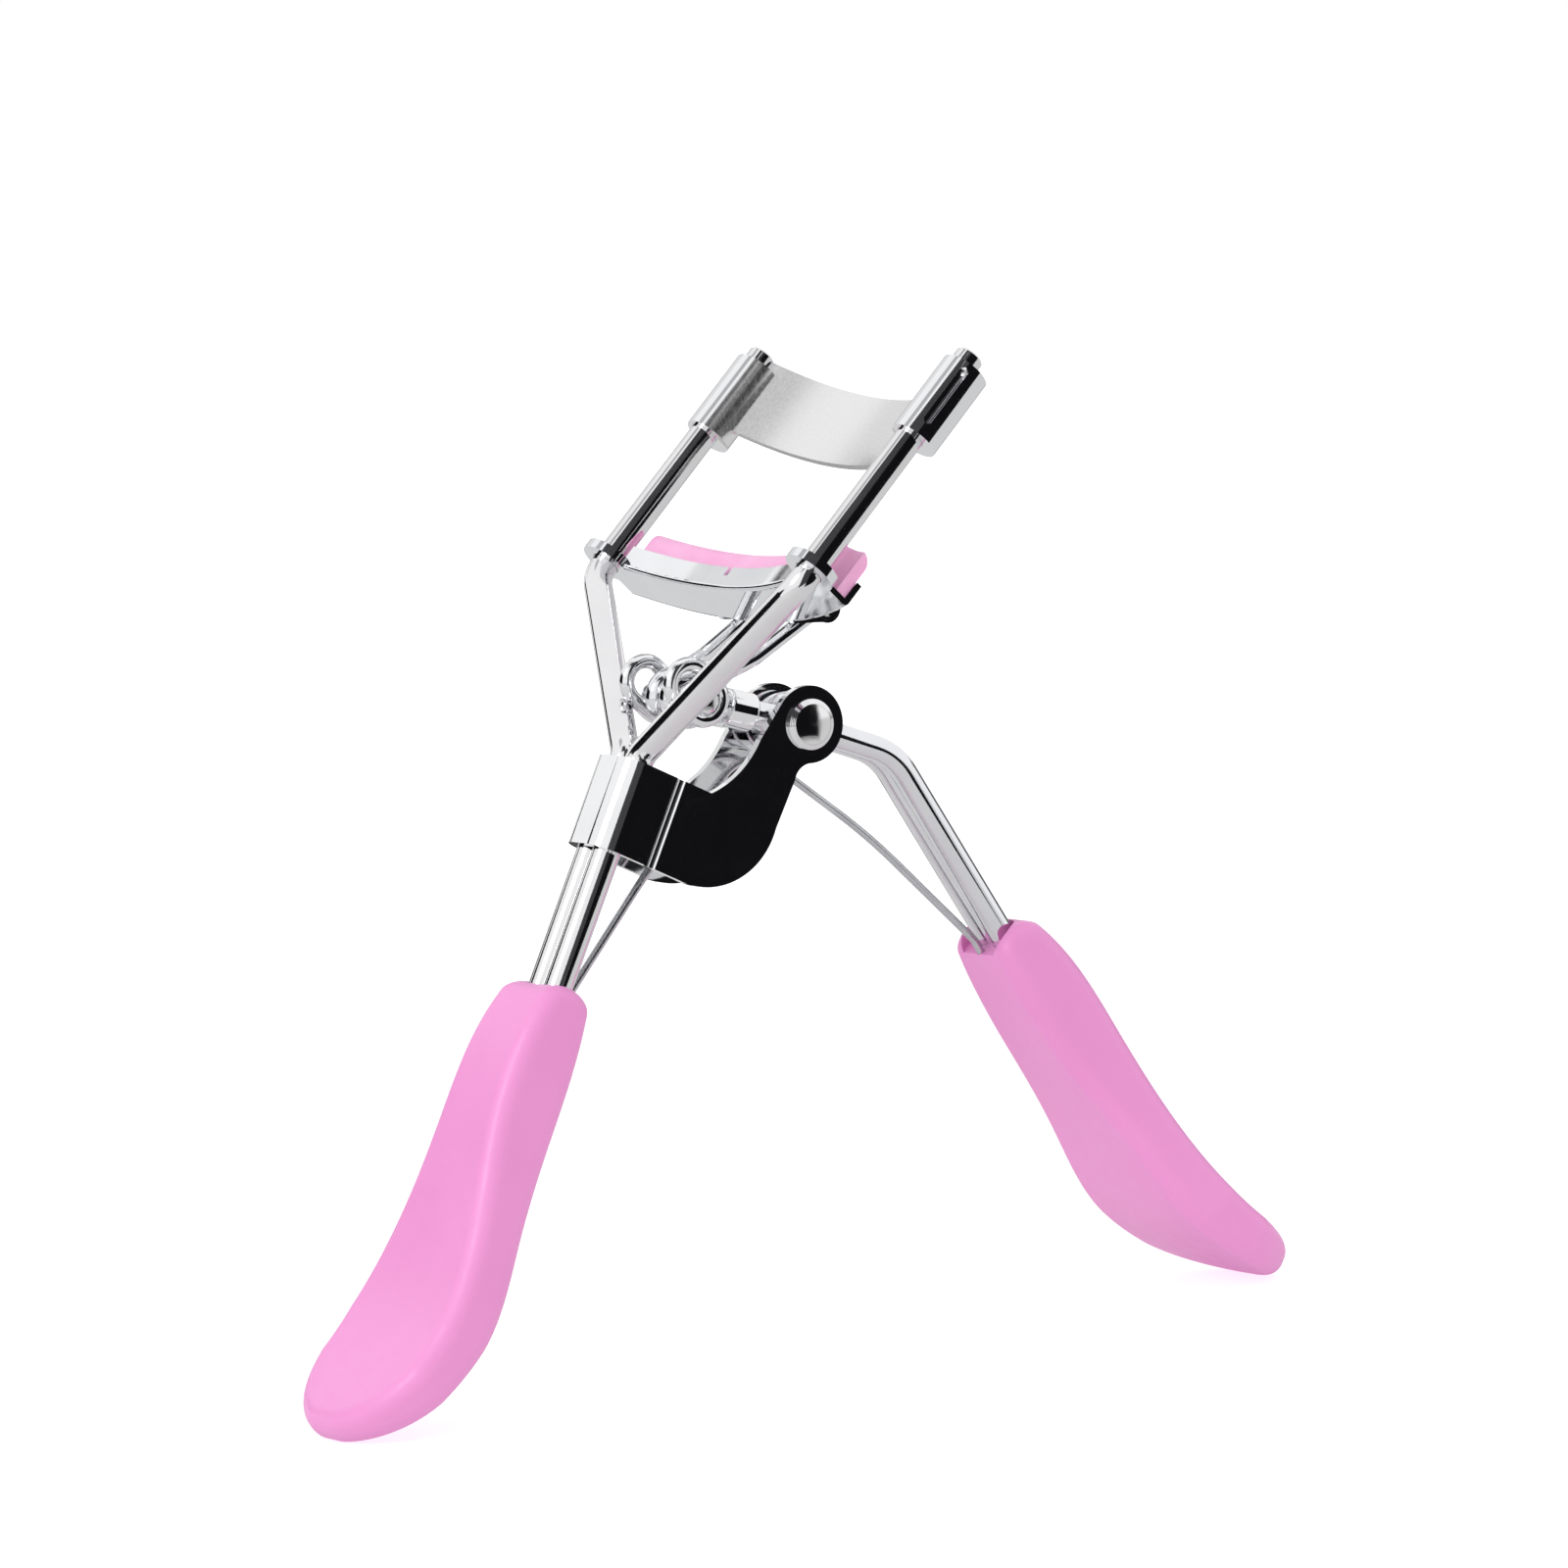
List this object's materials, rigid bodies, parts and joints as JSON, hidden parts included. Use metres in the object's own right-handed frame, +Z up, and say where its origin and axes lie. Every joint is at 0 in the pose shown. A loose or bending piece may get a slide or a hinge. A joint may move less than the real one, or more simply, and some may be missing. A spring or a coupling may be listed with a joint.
{
  "type": "eyelash curler",
  "caption": "Hand-squeezed eyelash curler: bent wire frame with a bowed upper plate, a sliding jaw with a soft pad, a pivoted wire lever and slim moulded grips.",
  "frame": {"origin": "on the surface the curler stands on, midway between the two ends of the part, on the mirror plane between its left and right halves", "axes": "+X from the fixed handle towards the squeezed lever, +Y to the left across the head, +Z up"},
  "size_m": [0.096, 0.0386, 0.0862],
  "materials": {
    "chromed_wire": "bright chromed steel wire",
    "chromed_sheet": "bright chromed sheet steel",
    "rivet_steel": "polished steel rivet",
    "spring_wire": "drawn spring wire",
    "grip_plastic": "satin moulded plastic",
    "silicone_pad": "soft matte silicone"
  },
  "bodies": {
    "frame": {"guide_rod_left": "chromed_wire", "guide_rod_right": "chromed_wire", "upper_plate": "chromed_sheet", "collar_bracket": "chromed_sheet", "pivot_rivet": "rivet_steel", "grip_fixed": "grip_plastic", "return_spring": "spring_wire"},
    "lever": {"lever_wire_left": "chromed_wire", "lever_wire_right": "chromed_wire", "lever_ferrule": "chromed_sheet", "link_pin": "rivet_steel", "grip_lever": "grip_plastic"},
    "jaw": {"jaw_channel": "chromed_sheet", "jaw_pad": "silicone_pad"},
    "yoke": {"yoke_wire_left": "chromed_wire", "yoke_wire_right": "chromed_wire"}
  },
  "joints": [
    {"name": "lever_squeeze", "type": "hinge", "parent": "frame", "child": "lever", "pos_m": [0.00295, 0, 0.0547], "axis": [0, 1, 0], "range_deg": [0, 61.3], "stiffness_Nm_per_rad": 0.12, "springref_deg": -14.32, "deforming": ["return_spring"]},
    {"name": "jaw_slide", "type": "slide", "parent": "frame", "child": "jaw", "axis": [0.729, 0, 0.6845], "range_m": [0, 0.01145]},
    {"name": "yoke_swing", "type": "hinge", "parent": "jaw", "child": "yoke", "pos_m": [0.00395, 0, 0.06468], "axis": [0, 1, 0], "range_deg": [-2.71, 0]}
  ],
  "couplings": [
    {"joint": "lever_squeeze", "follows": "jaw_slide", "rad_per_m": 93.225},
    {"joint": "yoke_swing", "follows": "jaw_slide", "rad_per_m": -4.0377}
  ]
}
